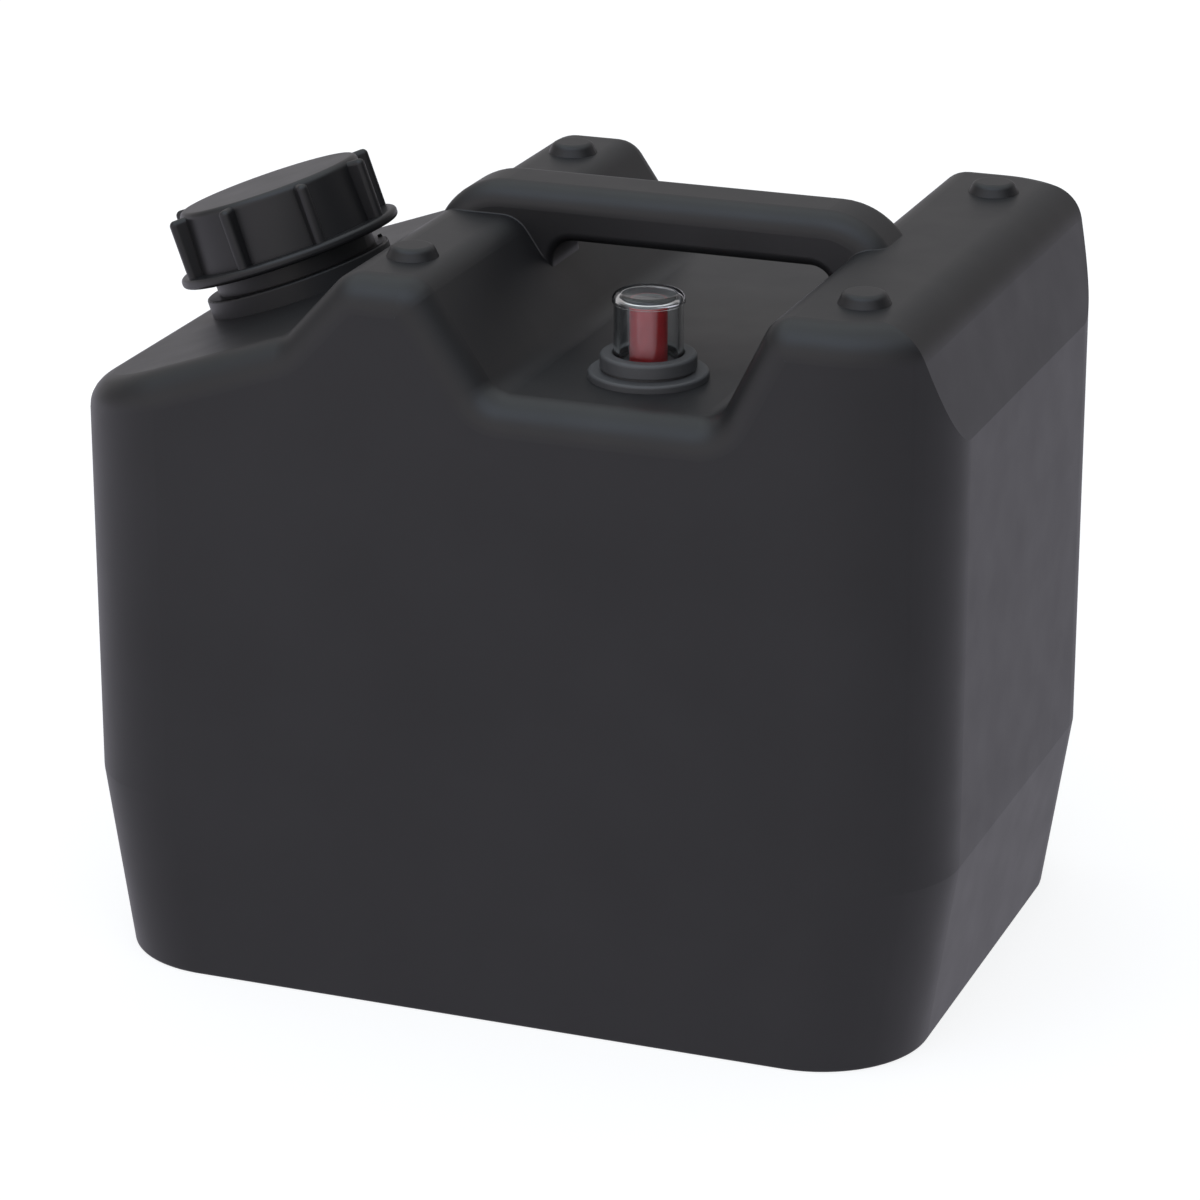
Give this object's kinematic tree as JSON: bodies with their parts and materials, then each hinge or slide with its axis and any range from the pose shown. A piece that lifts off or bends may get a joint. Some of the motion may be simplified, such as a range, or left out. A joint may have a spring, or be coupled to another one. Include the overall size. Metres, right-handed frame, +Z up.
{
  "type": "plastic jerrycan",
  "caption": "Black space-saving plastic jerrycan with a tilted screw neck and cap, a bridge handle, stacking knobs and a float level gauge under a clear dome.",
  "frame": {"origin": "on the standing face, under the middle of the whole can's outline with its cap", "axes": "+Z up, +X from the neck end to the far end, -Y the side that the gauge stands nearer to"},
  "size_m": [0.293, 0.2, 0.25],
  "materials": {
    "canister_hdpe": "blown black polyethylene, soft satin sheen, very fine grain",
    "cap_hdpe": "injection-moulded black polyethylene, satin",
    "gasket_polyethylene": "soft natural-white polyethylene disc",
    "gauge_hdpe": "turned black polyethylene, satin",
    "seal_rubber": "black sealing rubber",
    "clear_dome": "clear polished plastic",
    "white_bush": "natural white low-friction plastic",
    "indicator_red": "red plastic rod, smooth",
    "float_polypropylene": "closed moulded float, natural white"
  },
  "bodies": {
    "canister": {"canister_body": "canister_hdpe", "gauge_base": "gauge_hdpe", "base_gasket": "seal_rubber", "dome_seal_ring": "seal_rubber", "sight_dome": "clear_dome", "dome_clamp_ring": "gauge_hdpe", "rod_guide_bush": "white_bush", "float_guide_tube": "gauge_hdpe", "guide_tube_plug": "gauge_hdpe"},
    "cap_seal": {"cap_gasket": "gasket_polyethylene"},
    "cap": {"cap_shell": "cap_hdpe"},
    "indicator": {"indicator_rod": "indicator_red", "gauge_float": "float_polypropylene", "float_clip": "white_bush"}
  },
  "joints": [
    {"name": "cap_rise", "type": "slide", "parent": "canister", "child": "cap_seal", "axis": [-0.342, 0, 0.9397], "range_m": [0, 0.0196]},
    {"name": "cap_turn", "type": "hinge", "parent": "cap_seal", "child": "cap", "pos_m": [-0.11181, 0, 0.2344], "axis": [-0.342, 0, 0.9397], "range_deg": [0, 1170]},
    {"name": "level_travel", "type": "slide", "parent": "canister", "child": "indicator", "axis": [0, 0, 1], "range_m": [-0.019, 0]}
  ],
  "couplings": [
    {"joint": "cap_rise", "follows": "cap_turn", "m_per_rad": 0.00095493}
  ]
}
